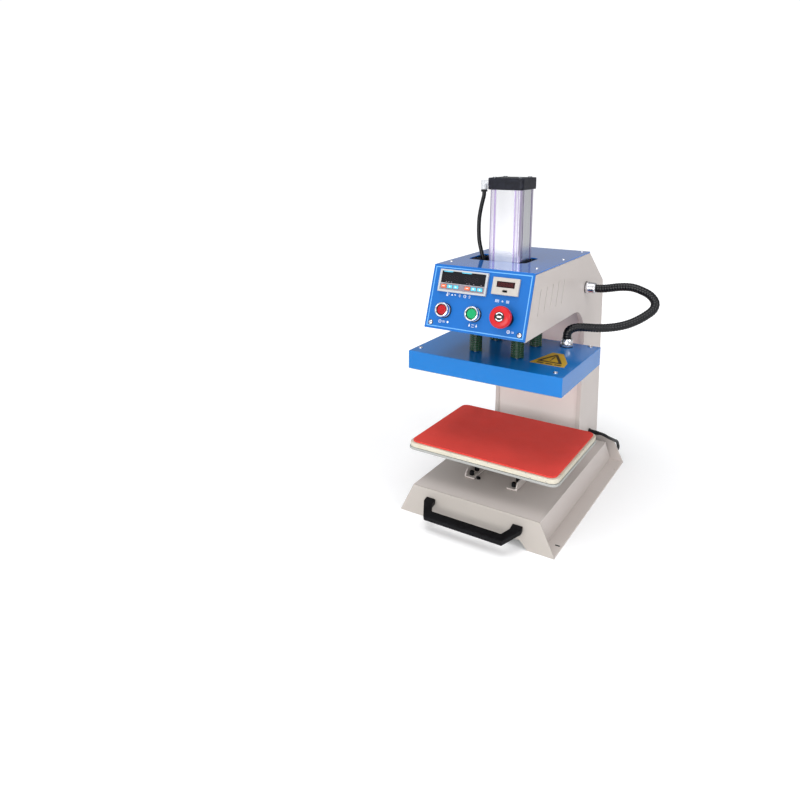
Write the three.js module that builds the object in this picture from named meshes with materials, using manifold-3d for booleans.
// A pneumatic hot stamping press: a folded-sheet base, a C-shaped column and head,
// an air cylinder, a heated platen that comes down on a silicone pad, and a control panel.
// Millimetres, +X to the operator's right, -Y to the operator, +Z up.
import * as THREE from 'three';
import { mergeVertices } from 'three/addons/utils/BufferGeometryUtils.js';
import Module from 'manifold-3d';

const wasm = await Module();
wasm.setup();

// ---------------------------------------------------------------- driving dimensions
const GAP = 0.3; // between pieces that touch
const SHEET = 2; // thickness of the covers
const STROKE = 150; // press travel

const BASE = { halfFoot: 163, halfTop: 133, height: 63, front: -239, rear: 239, sheet: 3, topEnd: 187 };
const HEAD = { half: 99.5, bottom: 401, top: 514.3, rearTop: 97.4 };
const COLUMN = {
  front: 84.4, throatRadius: 72, rearHigh: 211, rearLow: 228, shoulder: 441, shoulderY: 205, footPlate: 6,
};
const PANEL = { topY: -221.3, topZ: 517.6, height: 121.7, lean: THREE.MathUtils.degToRad(19), thickness: 3 };
const AXIS_Y = -98; // plan position of the cylinder
const CYLINDER = { half: 32, bore: 25, capHalf: 36.2, seat: 458.3, capHeight: 22, rod: 10, rodHole: 10.5 };
CYLINDER.barrelBottom = CYLINDER.seat + CYLINDER.capHeight + GAP;
CYLINDER.barrelTop = 656;
CYLINDER.top = 678.5;
const PLATEN = { half: 156.3, front: -222.3, rear: 10.1, top: 337.6, bottom: 300.7, heaterBottom: 298.7 };
const SPRING = { halfX: 43.5, halfY: 48.5, middleY: -103, radius: 12.7, inner: 8.8, top: 411.7 };
const PUSH = { half: 67, thickness: 12 };
const TABLE = { padHalf: 150.8, padFront: -219.8, padRear: 24.6, top: 147.8, rim: 4.5, plateRim: 6 };
const HANDLE = {
  halfOut: 101.5, halfIn: 81.5, reach: 51.5, thickness: 11, barDepth: 19, z: 40.5,
  droop: THREE.MathUtils.degToRad(13),
};
const CONDUIT_RADIUS = 8.5;
const TUBE_RADIUS = 4;
const CORD_RADIUS = 3.5;

// The handle stands furthest forward, so the footprint's middle follows from it.
const HANDLE_FRONT = BASE.front - GAP - HANDLE.reach * Math.cos(HANDLE.droop)
  - (HANDLE.thickness / 2) * Math.sin(HANDLE.droop);
const FOOTPRINT_MIDDLE = (HANDLE_FRONT + BASE.rear) / 2;

// ---------------------------------------------------------------- materials
function paint(color, roughness, metalness) {
  return new THREE.MeshStandardMaterial({ color, roughness, metalness });
}

const materials = {
  cream: paint('#c9c2bd', 0.45, 0.1),
  blue: paint('#1f6fd6', 0.3, 0.1),
  steel: paint('#8c9096', 0.4, 0.9),
  aluminium: paint('#c7c8cc', 0.35, 0.9),
  chrome: paint('#d8d9dc', 0.12, 1),
  black: paint('#15161a', 0.45, 0),
  cap: paint('#20232e', 0.35, 0.3),
  rubber: paint('#121214', 0.8, 0),
  springGreen: paint('#1f4a2c', 0.4, 0.3),
  silicone: paint('#b8403a', 0.9, 0),
  board: paint('#dfd6bd', 0.85, 0),
  insulation: paint('#d8d3c6', 0.95, 0),
  bezel: paint('#b9b6ae', 0.5, 0.1),
  creamPlastic: paint('#d9d4c2', 0.5, 0),
  red: paint('#c8142a', 0.35, 0),
  green: paint('#12b070', 0.35, 0),
  orange: paint('#e8693c', 0.5, 0),
  cyan: paint('#5fc4dd', 0.5, 0),
};

// ---------------------------------------------------------------- geometry helpers
function toSolid(geometry) {
  const bare = geometry.clone();
  for (const name of Object.keys(bare.attributes)) {
    if (name !== 'position') bare.deleteAttribute(name);
  }
  const merged = mergeVertices(bare, 1e-4);
  return new wasm.Manifold(new wasm.Mesh({
    numProp: 3,
    vertProperties: new Float32Array(merged.attributes.position.array),
    triVerts: new Uint32Array(merged.index.array),
  }));
}

function toGeometry(solid) {
  const mesh = solid.getMesh();
  const geometry = new THREE.BufferGeometry();
  geometry.setAttribute('position', new THREE.BufferAttribute(mesh.vertProperties, 3));
  geometry.setIndex(new THREE.BufferAttribute(mesh.triVerts, 1));
  geometry.computeVertexNormals();
  return geometry;
}

function cut(geometry, ...tools) {
  let solid = toSolid(geometry);
  for (const tool of tools) solid = solid.subtract(toSolid(tool));
  return toGeometry(solid);
}

function join(geometry, ...others) {
  let solid = toSolid(geometry);
  for (const other of others) solid = solid.add(toSolid(other));
  return toGeometry(solid);
}

function block([x0, x1], [y0, y1], [z0, z1]) {
  return new THREE.BoxGeometry(x1 - x0, y1 - y0, z1 - z0)
    .translate((x0 + x1) / 2, (y0 + y1) / 2, (z0 + z1) / 2);
}

// A round bar along 'x', 'y' or 'z' from one coordinate to another.
function bar(axis, radius, from, to, a, b, sides = 24) {
  const length = to - from;
  const middle = (from + to) / 2;
  const geometry = new THREE.CylinderGeometry(radius, radius, length, sides);
  if (axis === 'x') return geometry.rotateZ(Math.PI / 2).translate(middle, a, b);
  if (axis === 'y') return geometry.translate(a, middle, b);
  return geometry.rotateX(Math.PI / 2).translate(a, b, middle);
}

// A shape drawn in X,Y and pushed up from z0 to z1.
function pushUp(shape, z0, z1, curveSegments = 6) {
  return new THREE.ExtrudeGeometry(shape, { depth: z1 - z0, bevelEnabled: false, curveSegments })
    .translate(0, 0, z0);
}

// A shape drawn in Y,Z and pushed along X from x0 to x1.
function pushAcross(shape, x0, x1, curveSegments = 8) {
  return new THREE.ExtrudeGeometry(shape, { depth: x1 - x0, bevelEnabled: false, curveSegments })
    .rotateX(Math.PI / 2).rotateZ(Math.PI / 2).translate(x0, 0, 0);
}

// A shape drawn in X,Z and pushed along Y from y0 to y1.
function pushBack(shape, y0, y1, curveSegments = 8) {
  return new THREE.ExtrudeGeometry(shape, { depth: y1 - y0, bevelEnabled: false, curveSegments })
    .rotateX(Math.PI / 2).translate(0, y1, 0);
}

function outline(points) {
  return new THREE.Shape(points.map(([a, b]) => new THREE.Vector2(a, b)));
}

function roundedRectangle(x0, x1, y0, y1, radius) {
  const shape = new THREE.Shape();
  shape.moveTo(x0 + radius, y0);
  shape.lineTo(x1 - radius, y0);
  shape.absarc(x1 - radius, y0 + radius, radius, -Math.PI / 2, 0);
  shape.lineTo(x1, y1 - radius);
  shape.absarc(x1 - radius, y1 - radius, radius, 0, Math.PI / 2);
  shape.lineTo(x0 + radius, y1);
  shape.absarc(x0 + radius, y1 - radius, radius, Math.PI / 2, Math.PI);
  shape.lineTo(x0, y0 + radius);
  shape.absarc(x0 + radius, y0 + radius, radius, Math.PI, Math.PI * 1.5);
  return shape;
}

// The points of an arc about a centre, both ends included.
function arc(cx, cy, radius, from, to, steps) {
  const points = [];
  for (let i = 0; i <= steps; i += 1) {
    const angle = THREE.MathUtils.degToRad(from + ((to - from) * i) / steps);
    points.push([cx + radius * Math.cos(angle), cy + radius * Math.sin(angle)]);
  }
  return points;
}

// A folded strip: a path with thickness, laid to the left of its direction of travel.
function folded(path, thickness) {
  const points = path.map(([a, b]) => new THREE.Vector2(a, b));
  const normals = points.slice(1).map((p, i) => {
    const d = p.clone().sub(points[i]).normalize();
    return new THREE.Vector2(-d.y, d.x);
  });
  const inner = points.map((p, i) => {
    const before = normals[Math.max(i - 1, 0)];
    const after = normals[Math.min(i, normals.length - 1)];
    const mitre = before.clone().add(after).normalize();
    return p.clone().add(mitre.multiplyScalar(thickness / mitre.dot(before)));
  });
  return new THREE.Shape([...points, ...inner.reverse()]);
}

function turned(profile, sides = 24) {
  return new THREE.LatheGeometry(profile.map(([r, z]) => new THREE.Vector2(r, z)), sides)
    .rotateX(Math.PI / 2);
}

// A round tube along a smooth route.
function hose(points, radius, sides, steps) {
  const circle = new THREE.Shape();
  circle.absarc(0, 0, radius, 0, Math.PI * 2);
  const corners = points.map((p) => new THREE.Vector3(...p));
  const route = new THREE.CatmullRomCurve3(corners, false, 'centripetal');
  // A full circle is drawn with two faces per curve segment.
  return new THREE.ExtrudeGeometry(circle, { steps, curveSegments: sides / 2, extrudePath: route });
}

function piece(parent, name, geometry, material) {
  const mesh = new THREE.Mesh(geometry, material);
  mesh.name = name;
  parent.add(mesh);
  return mesh;
}

// ---------------------------------------------------------------- base
function buildBase(group) {
  const { halfFoot, halfTop, height, front, rear, sheet, topEnd } = BASE;
  // One folded sheet: ground flange, wall, top, wall, ground flange.
  const section = folded([
    [halfFoot - 1, sheet], [halfTop, sheet], [halfTop, height], [-halfTop, height],
    [-halfTop, sheet], [1 - halfFoot, sheet],
  ], sheet);
  const y0 = front + sheet + GAP;
  const y1 = rear - sheet - GAP;
  // The rear end is cut back at a slant, from the top plate's end down to the flange.
  const slantedEnd = pushAcross(outline([
    [topEnd, height + 1], [topEnd, height - sheet - 1], [y1, sheet + 1], [y1 + 1, sheet + 1],
    [y1 + 1, height + 1],
  ]), -halfTop - 1, halfTop + 1);
  // Bench fixings in each ground flange: a slot near the front and a small hole near the rear.
  const fixing = { slotX: 148.5, slotLength: 10, slotY: -197.6, slotWidth: 4.5, holeX: 156, holeY: 182.6 };
  const through = [-1, sheet + 1];
  const fixings = [-1, 1].flatMap((side) => {
    const slotEnds = [side * fixing.slotX, side * (fixing.slotX + fixing.slotLength)];
    return [
      pushUp(roundedRectangle(
        Math.min(...slotEnds), Math.max(...slotEnds), fixing.slotY, fixing.slotY + fixing.slotWidth, 2,
      ), ...through, 3),
      bar('z', 2, ...through, side * fixing.holeX, fixing.holeY, 12),
    ];
  });
  piece(group, 'base_shell', cut(pushBack(section, y0, y1), slantedEnd, ...fixings), materials.cream);

  // End plates: the front one has a notch along its lower edge.
  const notch = { half: 96, foot: 110, height: 16 };
  piece(group, 'base_front_plate', pushBack(outline([
    [-halfFoot, 0], [-notch.foot, 0], [-notch.half, notch.height], [notch.half, notch.height],
    [notch.foot, 0], [halfFoot, 0], [halfTop, height], [-halfTop, height],
  ]), front, front + sheet), materials.cream);

  const corner = { radius: 34, x: 112, z: 27, start: 25 };
  piece(group, 'base_rear_plate', pushBack(outline([
    [-halfFoot, 0], [halfFoot, 0],
    ...arc(corner.x, corner.z, corner.radius, corner.start, 90, 6),
    ...arc(-corner.x, corner.z, corner.radius, 90, 180 - corner.start, 6),
  ]), rear - sheet, rear), materials.cream);
}

// A bridge handle: two legs that splay out to feet on the front plate, drooping forwards.
function buildHandle(group) {
  const { halfOut, halfIn, reach, thickness, barDepth, droop, z } = HANDLE;
  const buried = 12; // how far the legs run back before they are trimmed at the plate
  const barBack = barDepth - reach;
  const outer = { chamfer: 21, straight: 11 };
  const inner = { chamfer: 9, straight: 14 };
  const half = [
    [halfOut - outer.chamfer, -reach], [halfOut, -outer.straight], [halfOut, buried],
    [halfIn, buried], [halfIn, -inner.straight], [halfIn - inner.chamfer, barBack],
  ];
  const shape = outline([...half, ...half.map(([x, y]) => [-x, y]).reverse()]);
  const bridge = pushUp(shape, -thickness / 2, thickness / 2)
    .rotateX(droop).translate(0, BASE.front - GAP, z);
  const behind = block([-120, 120], [BASE.front - GAP, BASE.front + 40], [-20, 90]);
  piece(group, 'carry_handle', cut(bridge, behind), materials.black);
}

// ---------------------------------------------------------------- frame, column and head covers
// The panel's plane, moved in by a depth: the y where it crosses a height.
function panelY(z, depth) {
  const down = (PANEL.topZ - depth * Math.sin(PANEL.lean) - z) * Math.tan(PANEL.lean);
  return PANEL.topY + depth * Math.cos(PANEL.lean) - down;
}

const THROAT_CENTRE = [COLUMN.front - COLUMN.throatRadius, HEAD.bottom - COLUMN.throatRadius];
const COLUMN_FOOT = BASE.height + GAP;
const REAR_PATH = [
  [COLUMN.rearLow, COLUMN_FOOT], [COLUMN.rearHigh, 405], [210, 422], [COLUMN.shoulderY, COLUMN.shoulder],
  [HEAD.rearTop, HEAD.top],
];

function throatPath() {
  return arc(THROAT_CENTRE[0], THROAT_CENTRE[1], COLUMN.throatRadius, 90, 0, 8);
}

function buildSideCover(group, name, side) {
  const depth = PANEL.thickness + GAP;
  const shape = outline([
    [panelY(HEAD.top, depth), HEAD.top], [panelY(HEAD.bottom, depth), HEAD.bottom],
    ...throatPath(), [COLUMN.front, COLUMN_FOOT], ...REAR_PATH,
  ]);
  const outer = side * HEAD.half;
  const inner = side * (HEAD.half - SHEET);
  // Five slanted vent slots, parallel to the panel's edge.
  const slot = { top: 484, bottom: 437, lean: 13.8, width: 1.8, first: -190.8, pitch: 32, count: 5 };
  const slots = [];
  for (let i = 0; i < slot.count; i += 1) {
    const y = slot.first + i * slot.pitch;
    slots.push(pushAcross(outline([
      [y, slot.top], [y + slot.width, slot.top],
      [y + slot.width - slot.lean, slot.bottom], [y - slot.lean, slot.bottom],
    ]), Math.min(outer, inner) - 1, Math.max(outer, inner) + 1));
  }
  const plate = cut(pushAcross(shape, Math.min(outer, inner), Math.max(outer, inner)), ...slots);
  // A return flange stiffens the throat and the front edge of the column.
  const lip = 9;
  const flange = pushAcross(
    folded([[THROAT_CENTRE[0], HEAD.bottom], ...throatPath().slice(1), [COLUMN.front, COLUMN_FOOT]], SHEET),
    Math.min(outer, side * (HEAD.half - lip)),
    Math.max(outer, side * (HEAD.half - lip)),
  );
  piece(group, name, join(plate, flange), materials.cream);
}

function buildFrame(group) {
  const plate = {
    outer: 82, inner: 72, front: -165, back: 195, columnFront: 110, armBottom: 432, top: 500,
  };
  // A foot plate bridges the base's cut-back rear end and carries the whole column.
  const footTop = COLUMN_FOOT + COLUMN.footPlate;
  const footHalf = HEAD.half - SHEET - GAP;
  const footFront = COLUMN.front + 2 * (SHEET + GAP);
  const footRear = COLUMN.rearLow - SHEET - 1;
  piece(group, 'column_foot_plate', block(
    [-footHalf, footHalf], [footFront, footRear], [COLUMN_FOOT, footTop],
  ), materials.steel);

  const foot = footTop + GAP;
  const shape = outline([
    [plate.columnFront, foot], [plate.back, foot], [plate.back, 430],
    [plate.back - 90, plate.top], [plate.front, plate.top], [plate.front, plate.armBottom],
    [plate.columnFront, plate.armBottom],
  ]);
  piece(group, 'frame_plate_right', pushAcross(shape, plate.inner, plate.outer), materials.steel);
  piece(group, 'frame_plate_left', pushAcross(shape, -plate.outer, -plate.inner), materials.steel);

  const mount = { halfDepth: 62, bottom: 446, rodHole: 12 };
  const mountPlate = cut(
    block(
      [GAP - plate.inner, plate.inner - GAP],
      [AXIS_Y - mount.halfDepth, AXIS_Y + mount.halfDepth],
      [mount.bottom, CYLINDER.seat - GAP],
    ),
    bar('z', mount.rodHole, mount.bottom - 5, CYLINDER.seat + 5, 0, AXIS_Y, 32),
  );
  piece(group, 'cylinder_mount_plate', mountPlate, materials.steel);
}

function buildCovers(group) {
  buildSideCover(group, 'side_cover_left', -1);
  buildSideCover(group, 'side_cover_right', 1);

  const inside = HEAD.half - SHEET - GAP;
  // Set back behind the side covers' flanges, from the base up into the head.
  const frontY = COLUMN.front + SHEET + GAP;
  const frontCoverTop = 425;
  piece(group, 'column_front_cover', block(
    [-inside, inside], [frontY, frontY + SHEET], [COLUMN_FOOT, frontCoverTop],
  ), materials.cream);
  piece(group, 'rear_cover', pushAcross(folded(REAR_PATH, SHEET), -inside, inside), materials.cream);

  // The top cover has a rounded opening for the cylinder and its air tube.
  const cover = {
    front: PANEL.topY + PANEL.thickness + GAP, rear: HEAD.rearTop + 1, bottom: HEAD.top + GAP, thickness: 3,
  };
  const opening = { left: -77, right: 43, front: -131, rear: -49, corner: 14 };
  const top = roundedRectangle(-HEAD.half, HEAD.half, cover.front, cover.rear, 2);
  top.holes.push(new THREE.Path(roundedRectangle(
    opening.left, opening.right, opening.front, opening.rear, opening.corner,
  ).getPoints(4)));
  piece(group, 'top_cover', pushUp(top, cover.bottom, cover.bottom + cover.thickness, 2), materials.blue);
}

// ---------------------------------------------------------------- air cylinder
function buildCylinder(group) {
  const { half, bore, capHalf, seat, barrelBottom, barrelTop, top, rodHole } = CYLINDER;
  const square = roundedRectangle(-capHalf, capHalf, AXIS_Y - capHalf, AXIS_Y + capHalf, 6);
  const lower = pushUp(square, seat, barrelBottom - GAP, 3);
  piece(group, 'cylinder_lower_cap', cut(
    lower, bar('z', rodHole, seat - 5, barrelBottom + 5, 0, AXIS_Y, 32),
  ), materials.cap);

  // Extruded barrel with a pair of grooves beside each corner.
  const groove = { depth: 1.6, width: 3.2, offset: 18.5 };
  const corner = 3;
  const side = [
    [-half, -half + corner], [-half + corner, -half],
    [-groove.offset - groove.width, -half], [-groove.offset - groove.width, -half + groove.depth],
    [-groove.offset, -half + groove.depth], [-groove.offset, -half],
    [groove.offset, -half], [groove.offset, -half + groove.depth],
    [groove.offset + groove.width, -half + groove.depth], [groove.offset + groove.width, -half],
  ];
  const points = [];
  for (let turn = 0; turn < 4; turn += 1) {
    const cos = [1, 0, -1, 0][turn];
    const sin = [0, 1, 0, -1][turn];
    for (const [x, y] of side) points.push([x * cos - y * sin, x * sin + y * cos + AXIS_Y]);
  }
  const section = outline(points);
  const hole = new THREE.Path();
  hole.absarc(0, AXIS_Y, bore, 0, Math.PI * 2, true);
  section.holes.push(hole);
  piece(group, 'cylinder_barrel', pushUp(section, barrelBottom, barrelTop - GAP, 16), materials.aluminium);

  piece(group, 'cylinder_top_cap', pushUp(square, barrelTop, top, 3), materials.cap);
}

// Push-in elbow on the cap's left side, and the air tube that drops into the head.
const ELBOW = { y: AXIS_Y + 5, z: 667, x: -61, bottom: 649 };
const AIR_TUBE = [
  [ELBOW.x, ELBOW.bottom - GAP], [ELBOW.x, ELBOW.bottom - 6], [-63, 634], [-66.8, 617], [-70, 597],
  [-70.6, 578], [-69, 551], [-64, 530], [-59, 512], [-56, 498], [-55, 490], [-55, 484.9],
].map(([x, z]) => [x, ELBOW.y, z]);

function buildAirFittings(group) {
  const stem = bar('x', 5, ELBOW.x, -CYLINDER.capHalf - GAP, ELBOW.y, ELBOW.z, 16);
  const hex = bar('x', 7, -CYLINDER.capHalf - 9, -CYLINDER.capHalf - GAP, ELBOW.y, ELBOW.z, 6);
  const collar = bar('z', 7, ELBOW.bottom, ELBOW.z + 5, ELBOW.x, ELBOW.y, 16);
  piece(group, 'elbow_fitting', join(stem, hex, collar), materials.bezel);
  piece(group, 'air_tube', hose(AIR_TUBE, TUBE_RADIUS, 8, 30), materials.black);

  const valve = join(
    block([-66, -44], [AXIS_Y - 32, AXIS_Y + 50], [462, 480]),
    bar('z', 6, 478, 484.6, -55, ELBOW.y, 16),
    block([-64, -46], [AXIS_Y + 49, AXIS_Y + 76], [460, 486]),
  );
  piece(group, 'solenoid_valve', valve, materials.steel);
}

// ---------------------------------------------------------------- control panel
// A plate-shaped key that stands clear of its well's floor by its travel and a little more.
const KEY = { clear: 1.2, thickness: 3 };

function key(parent, name, [x, y], [width, height], floor, material) {
  piece(parent, name, block(
    [x - width / 2, x + width / 2], [y - height / 2, y + height / 2],
    [floor + KEY.clear, floor + KEY.clear + KEY.thickness],
  ), material);
}

// A panel instrument: a bezel that lies on the panel and a body behind it.
function instrument({ x0, x1, y0, y1, bezel, body, inset }) {
  const edge = inset + GAP;
  return join(
    block([x0, x1], [y0, y1], [GAP, bezel]),
    block([x0 + edge, x1 - edge], [y0 + edge, y1 - edge], [-body, bezel - 1.5]),
  );
}

// Everything here is drawn flat, with +Z out of the panel and y = 0 at its upper edge.
function buildPanel(group) {
  const meter = { x0: -82.5, x1: 15, y0: -51, y1: -8.7, bezel: 6, body: 60, inset: 3 };
  const counter = { x0: 25, x1: 75.4, y0: -44.6, y1: -13.3, bezel: 5, body: 45, inset: 3 };
  const buttons = { y: -86, red: -63, green: -2.5, stop: 58.5, hole: 11.3 };
  const through = [-9, 9];
  const holes = [
    ...[meter, counter].map(({ x0, x1, y0, y1, inset }) => block(
      [x0 + inset, x1 - inset], [y0 + inset, y1 - inset], through,
    )),
    ...[buttons.red, buttons.green, buttons.stop].map((x) => bar(
      'z', buttons.hole, ...through, x, buttons.y, 24,
    )),
  ];
  const plate = block([-HEAD.half, HEAD.half], [-PANEL.height, 0], [-PANEL.thickness, 0]);
  piece(group, 'control_panel', cut(plate, ...holes), materials.blue);

  // Temperature and time meter: bezel, body behind the panel, and six key wells.
  const well = { width: 11, height: 7.5, depth: 3.4, pitch: 12.6, first: 12, split: 10.5 };
  const keyY = meter.y0 + 10.2;
  const keyXs = [0, 1, 2, 3, 4, 5].map(
    (i) => meter.x0 + well.first + i * well.pitch + (i > 2 ? well.split : 0),
  );
  const wells = keyXs.map((x) => block(
    [x - well.width / 2, x + well.width / 2],
    [keyY - well.height / 2, keyY + well.height / 2],
    [meter.bezel - well.depth, meter.bezel + 2],
  ));
  const window = block(
    [meter.x0 + 4.5, meter.x1 - 4], [meter.y0 + 16.5, meter.y1 - 3], [meter.bezel - 1, meter.bezel + 2],
  );
  piece(group, 'meter_housing', cut(instrument(meter), window, ...wells), materials.bezel);
  const keyColours = ['orange', 'cyan', 'cyan', 'orange', 'cyan', 'cyan'];
  keyXs.forEach((x, i) => {
    key(group, `meter_key_${i + 1}`, [x, keyY], [well.width - 1, well.height - 1],
      meter.bezel - well.depth, materials[keyColours[i]]);
  });

  // Stroke counter with a reset key below its window.
  const resetX = (counter.x0 + counter.x1) / 2;
  const resetY = counter.y0 + 7;
  const reset = { width: 9, height: 4, depth: 3 };
  const digits = block(
    [counter.x0 + 8, counter.x1 - 8],
    [counter.y1 - 18, counter.y1 - 7],
    [counter.bezel - 1, counter.bezel + 2],
  );
  const resetWell = block(
    [resetX - reset.width / 2, resetX + reset.width / 2],
    [resetY - reset.height / 2, resetY + reset.height / 2],
    [counter.bezel - reset.depth, counter.bezel + 2],
  );
  piece(group, 'counter_housing', cut(instrument(counter), digits, resetWell), materials.creamPlastic);
  key(group, 'counter_reset_key', [resetX, resetY], [reset.width - 1, reset.height - 1],
    counter.bezel - reset.depth, materials.black);

  // Push buttons: a housing with a bezel ring, and a cap that slides in it.
  for (const [name, x] of [['red', buttons.red], ['green', buttons.green]]) {
    const housing = turned([
      [0, -38], [11, -38], [11, GAP], [14.3, GAP], [14.3, 12], [13.2, 15], [11, 15.5], [10.9, -6], [0, -6],
    ], 32).translate(x, buttons.y, 0);
    piece(group, `${name}_button_housing`, housing, materials.chrome);
    const cap = turned([
      [0, -1.5], [10.4, -1.5], [10.4, 13], [9.4, 14], [0, 14],
    ], 32).translate(x, buttons.y, 0);
    piece(group, `${name}_button_cap`, cap, materials[name]);
  }

  // Emergency stop: fixed collar, a plunger that goes in, and a mushroom head that also twists.
  const collar = turned([
    [0, -45], [11, -45], [11, GAP], [15, GAP], [15, 8], [12.5, 11], [9.6, 11], [9.6, -12], [0, -12],
  ], 32).translate(buttons.stop, buttons.y, 0);
  piece(group, 'stop_button_housing', collar, materials.black);
  const plunger = turned([
    [0, -5], [9.2, -5], [9.2, 18.7], [0, 18.7],
  ], 24).translate(buttons.stop, buttons.y, 0);
  piece(group, 'stop_button_plunger', plunger, materials.black);
  const mushroom = turned([
    [0, 19], [12, 19], [18.8, 20.5], [20, 22.5], [20, 27.5], [17.8, 30.6], [12, 31.8], [9.5, 30.6], [0, 30.6],
  ], 36).translate(buttons.stop, buttons.y, 0);
  piece(group, 'stop_button_head', mushroom, materials.red);
}

// ---------------------------------------------------------------- electrics inside the column
function buildElectrics(group) {
  const relay = { left: -29, right: 29, front: 150, rear: 176, bottom: 330, top: 372 };
  piece(group, 'solid_state_relay', block(
    [relay.left, relay.right], [relay.front, relay.rear], [relay.bottom, relay.top],
  ), materials.black);
}

// ---------------------------------------------------------------- work table
function buildTable(group) {
  const { padHalf, padFront, padRear, top, rim, plateRim } = TABLE;
  const pad = { thickness: 3, corner: 14 };
  const board = { thickness: 9, corner: 16 };
  const plate = { thickness: 5, corner: 16 };
  const sheet = (name, edge, layer, z, material) => piece(group, name, pushUp(roundedRectangle(
    -padHalf - edge, padHalf + edge, padFront - edge, padRear + edge, layer.corner,
  ), z - layer.thickness, z), material);
  sheet('silicone_pad', 0, pad, top, materials.silicone);
  const boardTop = top - pad.thickness - GAP;
  sheet('table_board', rim, board, boardTop, materials.board);
  const plateTop = boardTop - board.thickness - GAP;
  sheet('table_plate', plateRim, plate, plateTop, materials.aluminium);

  // Two C-channels carry the table on the base: webs on the outside, open towards each other,
  // with low, rounded front ends.
  const channel = { middle: -4, outer: 57, inner: 35.5, wall: 3, front: -152, back: 40 };
  const nose = { reach: 14, rise: 13, shelf: 30, lean: 12 };
  const floor = BASE.height + GAP;
  const ceiling = plateTop - plate.thickness - GAP;
  const noseFoot = floor + channel.wall;
  const noseBack = channel.front + nose.reach;
  const curve = [0, 18, 36, 54, 72, 90].map((degrees) => {
    const angle = THREE.MathUtils.degToRad(degrees);
    return [noseBack - nose.reach * Math.cos(angle), noseFoot + nose.rise * Math.sin(angle)];
  });
  const ahead = channel.front - 5;
  const removed = pushAcross(outline([
    [ahead, noseFoot], ...curve, [noseBack + nose.shelf, noseFoot + nose.rise],
    [noseBack + nose.shelf + nose.lean, ceiling + 1], [ahead, ceiling + 1],
  ]), -100, 100);
  for (const [name, side] of [['left', -1], ['right', 1]]) {
    const outer = channel.middle + side * channel.outer;
    const inner = channel.middle + side * channel.inner;
    const web = outer - side * channel.wall;
    const section = outline([
      [inner, floor], [outer, floor], [outer, ceiling], [inner, ceiling], [inner, ceiling - channel.wall],
      [web, ceiling - channel.wall], [web, floor + channel.wall], [inner, floor + channel.wall],
    ]);
    const straight = pushBack(section, channel.front, channel.back);
    piece(group, `table_bracket_${name}`, cut(straight, removed), materials.cream);
  }
}

// ---------------------------------------------------------------- platen and push plate
const SPRING_SPOTS = [
  ['front_left', -1, -1], ['front_right', 1, -1], ['rear_left', -1, 1], ['rear_right', 1, 1],
].map(([name, sx, sy]) => [name, sx * SPRING.halfX, SPRING.middleY + sy * SPRING.halfY]);
const GLAND_LOW = { x: 97.3, y: -23 };

function buildPlaten(group) {
  const { half, front, rear, top, bottom, heaterBottom } = PLATEN;
  const heater = { thickness: 18, inset: 4 };
  const heaterTop = heaterBottom + heater.thickness;
  const coverInner = top - SHEET;
  const shell = cut(
    block([-half, half], [front, rear], [bottom, top]),
    block([SHEET - half, half - SHEET], [front + SHEET, rear - SHEET], [bottom - 1, coverInner]),
    ...SPRING_SPOTS.map(([, x, y]) => bar('z', 6, top - 5, top + 5, x, y, 16)),
  );
  piece(group, 'platen_cover', shell, materials.blue);
  const x = half - heater.inset;
  const depth = [front + heater.inset, rear - heater.inset];
  const groove = { x: 60, halfWidth: 5, front: front + 30, back: rear - 19, crossFront: rear - 31 };
  const grooveHeight = [heaterTop - 7, heaterTop + 1];
  const legs = [-groove.x, groove.x];
  piece(group, 'heater_plate', cut(
    block([-x, x], depth, [heaterBottom, heaterTop]),
    ...legs.map((leg) => block(
      [leg - groove.halfWidth, leg + groove.halfWidth], [groove.front, groove.back], grooveHeight,
    )),
    block([-groove.x, groove.x], [groove.crossFront, groove.back], grooveHeight),
  ), materials.aluminium);
  // A U-shaped tubular element lies in the heater plate's grooves.
  const element = { radius: 3.2, front: front + 32, back: rear - 25, z: heaterTop - 3.6 };
  piece(group, 'heating_element', join(
    ...legs.map((leg) => bar('y', element.radius, element.front, element.back, leg, element.z, 12)),
    bar('x', element.radius, -63, 63, element.back, element.z, 12),
  ), materials.steel);
  const boardTop = coverInner - 5.6;
  piece(group, 'insulation_board', block([-x, x], depth, [heaterTop + GAP, boardTop]), materials.insulation);

  // One plate under the cover carries four shouldered studs that guide the springs.
  const stud = { radius: 5, nut: 9, nutHeight: 8 };
  const pushTop = SPRING.top + GAP + PUSH.thickness + GAP;
  const studs = SPRING_SPOTS.flatMap(([, sx, sy]) => [
    bar('z', stud.radius, boardTop + 1, pushTop + 1, sx, sy, 16),
    bar('z', stud.nut, pushTop, pushTop + stud.nutHeight, sx, sy, 6),
  ]);
  piece(group, 'stud_plate', join(
    block([-70, 70], [SPRING.middleY - 70, SPRING.middleY + 70], [boardTop + GAP, coverInner - GAP]), ...studs,
  ), materials.steel);

  for (const [name, sx, sy] of SPRING_SPOTS) {
    const tube = turned([
      [SPRING.inner, top + GAP], [SPRING.radius, top + GAP], [SPRING.radius, SPRING.top],
      [SPRING.inner, SPRING.top], [SPRING.inner, top + GAP],
    ], 20).translate(sx, sy, 0);
    piece(group, `spring_${name}`, tube, materials.springGreen);
  }
  piece(group, 'platen_gland', turned([
    [0, top + GAP], [11.5, top + GAP], [11.5, top + 7], [10, top + 9], [10, top + 18], [0, top + 18],
  ], 24).translate(GLAND_LOW.x, GLAND_LOW.y, 0), materials.chrome);
}

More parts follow.
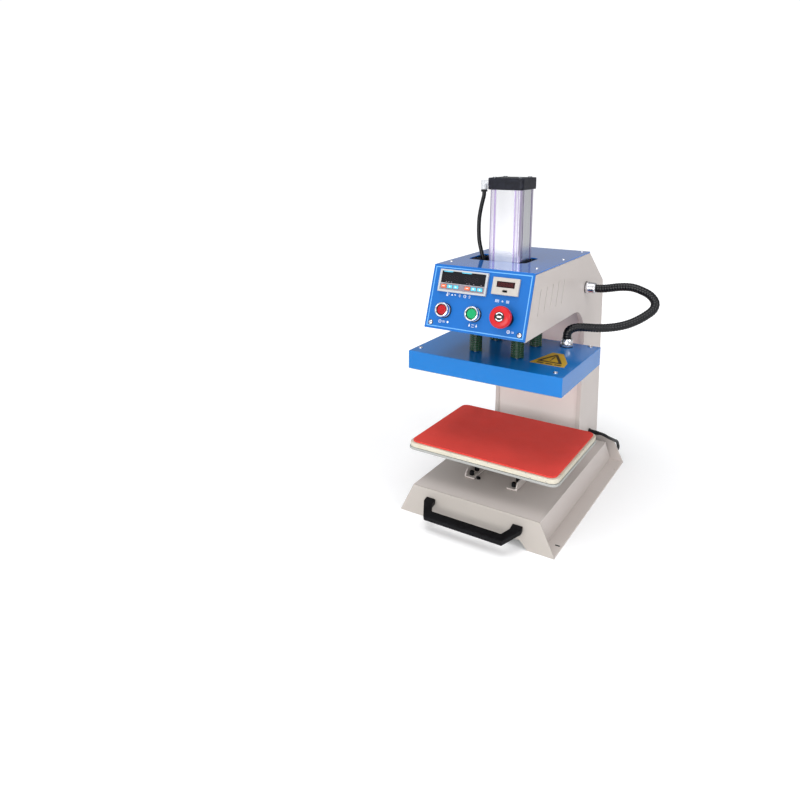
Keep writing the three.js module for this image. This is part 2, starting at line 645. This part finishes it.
function buildRam(group) {
  const bottom = SPRING.top + GAP;
  const top = bottom + PUSH.thickness;
  piece(group, 'push_plate', cut(
    block([-PUSH.half, PUSH.half], [SPRING.middleY - PUSH.half, SPRING.middleY + PUSH.half], [bottom, top]),
    ...SPRING_SPOTS.map(([, x, y]) => bar('z', 5.8, bottom - 5, top + 5, x, y, 16)),
  ), materials.steel);
  const piston = { radius: CYLINDER.bore - 0.4, height: 14, clear: 0.7 };
  const pistonTop = CYLINDER.barrelTop - GAP - piston.clear;
  const pistonBottom = pistonTop - piston.height;
  const { rod } = CYLINDER;
  piece(group, 'piston_and_rod', turned([
    [0, top + GAP], [18, top + GAP], [18, top + 14], [rod, top + 16], [rod, pistonBottom],
    [piston.radius, pistonBottom], [piston.radius, pistonTop], [0, pistonTop],
  ], 32).translate(0, AXIS_Y, 0), materials.chrome);
}

// ---------------------------------------------------------------- conduit and power cord
const GLAND_HIGH = { y: 79.4, z: 443.4, out: 22 };
const GLAND_LOW_TOP = PLATEN.top + 18;
const CONDUIT = [
  [HEAD.half + GLAND_HIGH.out + GAP, GLAND_HIGH.y, GLAND_HIGH.z], [128, GLAND_HIGH.y, GLAND_HIGH.z],
  [145, 79.4, 446], [167, 79.4, 451], [193, 79, 453], [214, 78, 448], [231, 76, 440], [241, 71, 428],
  [240, 64, 416], [230, 56, 405], [215, 45, 394], [195, 34, 384], [171, 22.5, 378], [147, 8, 376.5],
  [125, -6, 378], [110, -15, 377], [100, -21.5, 371], [GLAND_LOW.x, GLAND_LOW.y, 362],
  [GLAND_LOW.x, GLAND_LOW.y, GLAND_LOW_TOP + GAP],
];
const CORD_EXIT = { y: 161, z: 91.5, out: 24 };
// The coil lies flat on the ground: three turns side by side in two layers.
const COIL = { x: -50, y: 322, middle: 42, pitch: 7.2, low: 3.6, high: 10.8, stub: 30 };
COIL.outer = COIL.middle + COIL.pitch;
COIL.wall = CORD_RADIUS + 0.4;
const CORD = [
  [HEAD.half + CORD_EXIT.out + GAP, CORD_EXIT.y, CORD_EXIT.z], [127.5, CORD_EXIT.y, CORD_EXIT.z],
  [133.5, 164, 89], [138.5, 172, 83], [142, 184, 76], [143.7, 200, 68], [144.4, 218, 59], [144.6, 237, 50],
  [144.6, 249, 40],
  [143.5, 260, 28.5], [140.5, 270, 18], [135, 279, 10], [125.5, 285.8, 5], [112, 288, 3.6],
  [95, 286.5, 3.6], [76, 282, 3.6], [56, 277.5, 3.6], [36, 274.3, 3.6], [16, 273, 3.6],
  [-4, COIL.y - COIL.outer, COIL.low], [COIL.x + COIL.stub + GAP, COIL.y - COIL.outer, COIL.low],
];

function buildCords(group) {
  piece(group, 'head_gland', turned([
    [0, GAP], [12, GAP], [12, 6], [10.2, 8], [10.2, GLAND_HIGH.out], [0, GLAND_HIGH.out],
  ], 24).rotateY(Math.PI / 2).translate(HEAD.half, GLAND_HIGH.y, GLAND_HIGH.z), materials.chrome);
  piece(group, 'conduit', hose(CONDUIT, CONDUIT_RADIUS, 10, 48), materials.black);

  piece(group, 'strain_relief', turned([
    [0, GAP], [7, GAP], [7, 3], [5.6, 3.4], [4.3, CORD_EXIT.out], [0, CORD_EXIT.out],
  ], 20).rotateY(Math.PI / 2).translate(HEAD.half, CORD_EXIT.y, CORD_EXIT.z), materials.rubber);
  piece(group, 'power_cord', hose(CORD, CORD_RADIUS, 8, 60), materials.black);

  // The coil's outer shape, with the two straight ends where the cord runs in and out of it.
  const { x, y, middle, pitch, low, high, stub, outer, wall } = COIL;
  const hole = middle - pitch - wall;
  const ring = turned([
    [hole, low - CORD_RADIUS], [outer + wall, low - CORD_RADIUS], [outer + wall, high + wall],
    [hole, high + wall], [hole, low - CORD_RADIUS],
  ], 40).translate(x, y, 0);
  piece(group, 'cord_coil', join(
    ring,
    bar('x', CORD_RADIUS, x + 10, x + stub, y - outer, low, 12),
    bar('x', CORD_RADIUS, x + 10, x + stub, y + outer, high, 12),
  ), materials.black);

  // A moulded plug with three flat pins lies beside the coil.
  const plug = { start: x + stub + GAP, y: y + outer, boot: 16, body: 34, halfWidth: 15, halfHeight: 10.6 };
  const bodyStart = plug.start + plug.boot;
  const bodyEnd = bodyStart + plug.body;
  const boot = turned([[0, 0], [4.6, 0], [7.5, plug.boot + 1], [0, plug.boot + 1]], 16)
    .rotateY(Math.PI / 2).translate(plug.start, plug.y, high);
  const body = pushUp(roundedRectangle(
    bodyStart, bodyEnd, plug.y - plug.halfWidth, plug.y + plug.halfWidth, 6,
  ), high - plug.halfHeight, high + plug.halfHeight, 3);
  const pins = [[-7, 3], [7, 3], [0, -4]].map(([dy, dz]) => block(
    [bodyEnd - 1, bodyEnd + 17], [plug.y + dy - 3, plug.y + dy + 3], [high + dz - 0.8, high + dz + 0.8],
  ));
  piece(group, 'mains_plug', join(boot, body, ...pins), materials.black);
}

// ---------------------------------------------------------------- assembly
const machine = new THREE.Group();
machine.position.y = -FOOTPRINT_MIDDLE;

const fixed = new THREE.Group();
machine.add(fixed);
buildBase(fixed);
buildHandle(fixed);
buildFrame(fixed);
buildCovers(fixed);
buildCylinder(fixed);
buildAirFittings(fixed);
buildElectrics(fixed);
buildTable(fixed);
buildCords(fixed);

const panel = new THREE.Group();
panel.position.set(0, PANEL.topY, PANEL.topZ);
panel.rotation.x = Math.PI / 2 - PANEL.lean;
machine.add(panel);
buildPanel(panel);

const press = new THREE.Group();
machine.add(press);
buildPlaten(press);
buildRam(press);

export default machine;
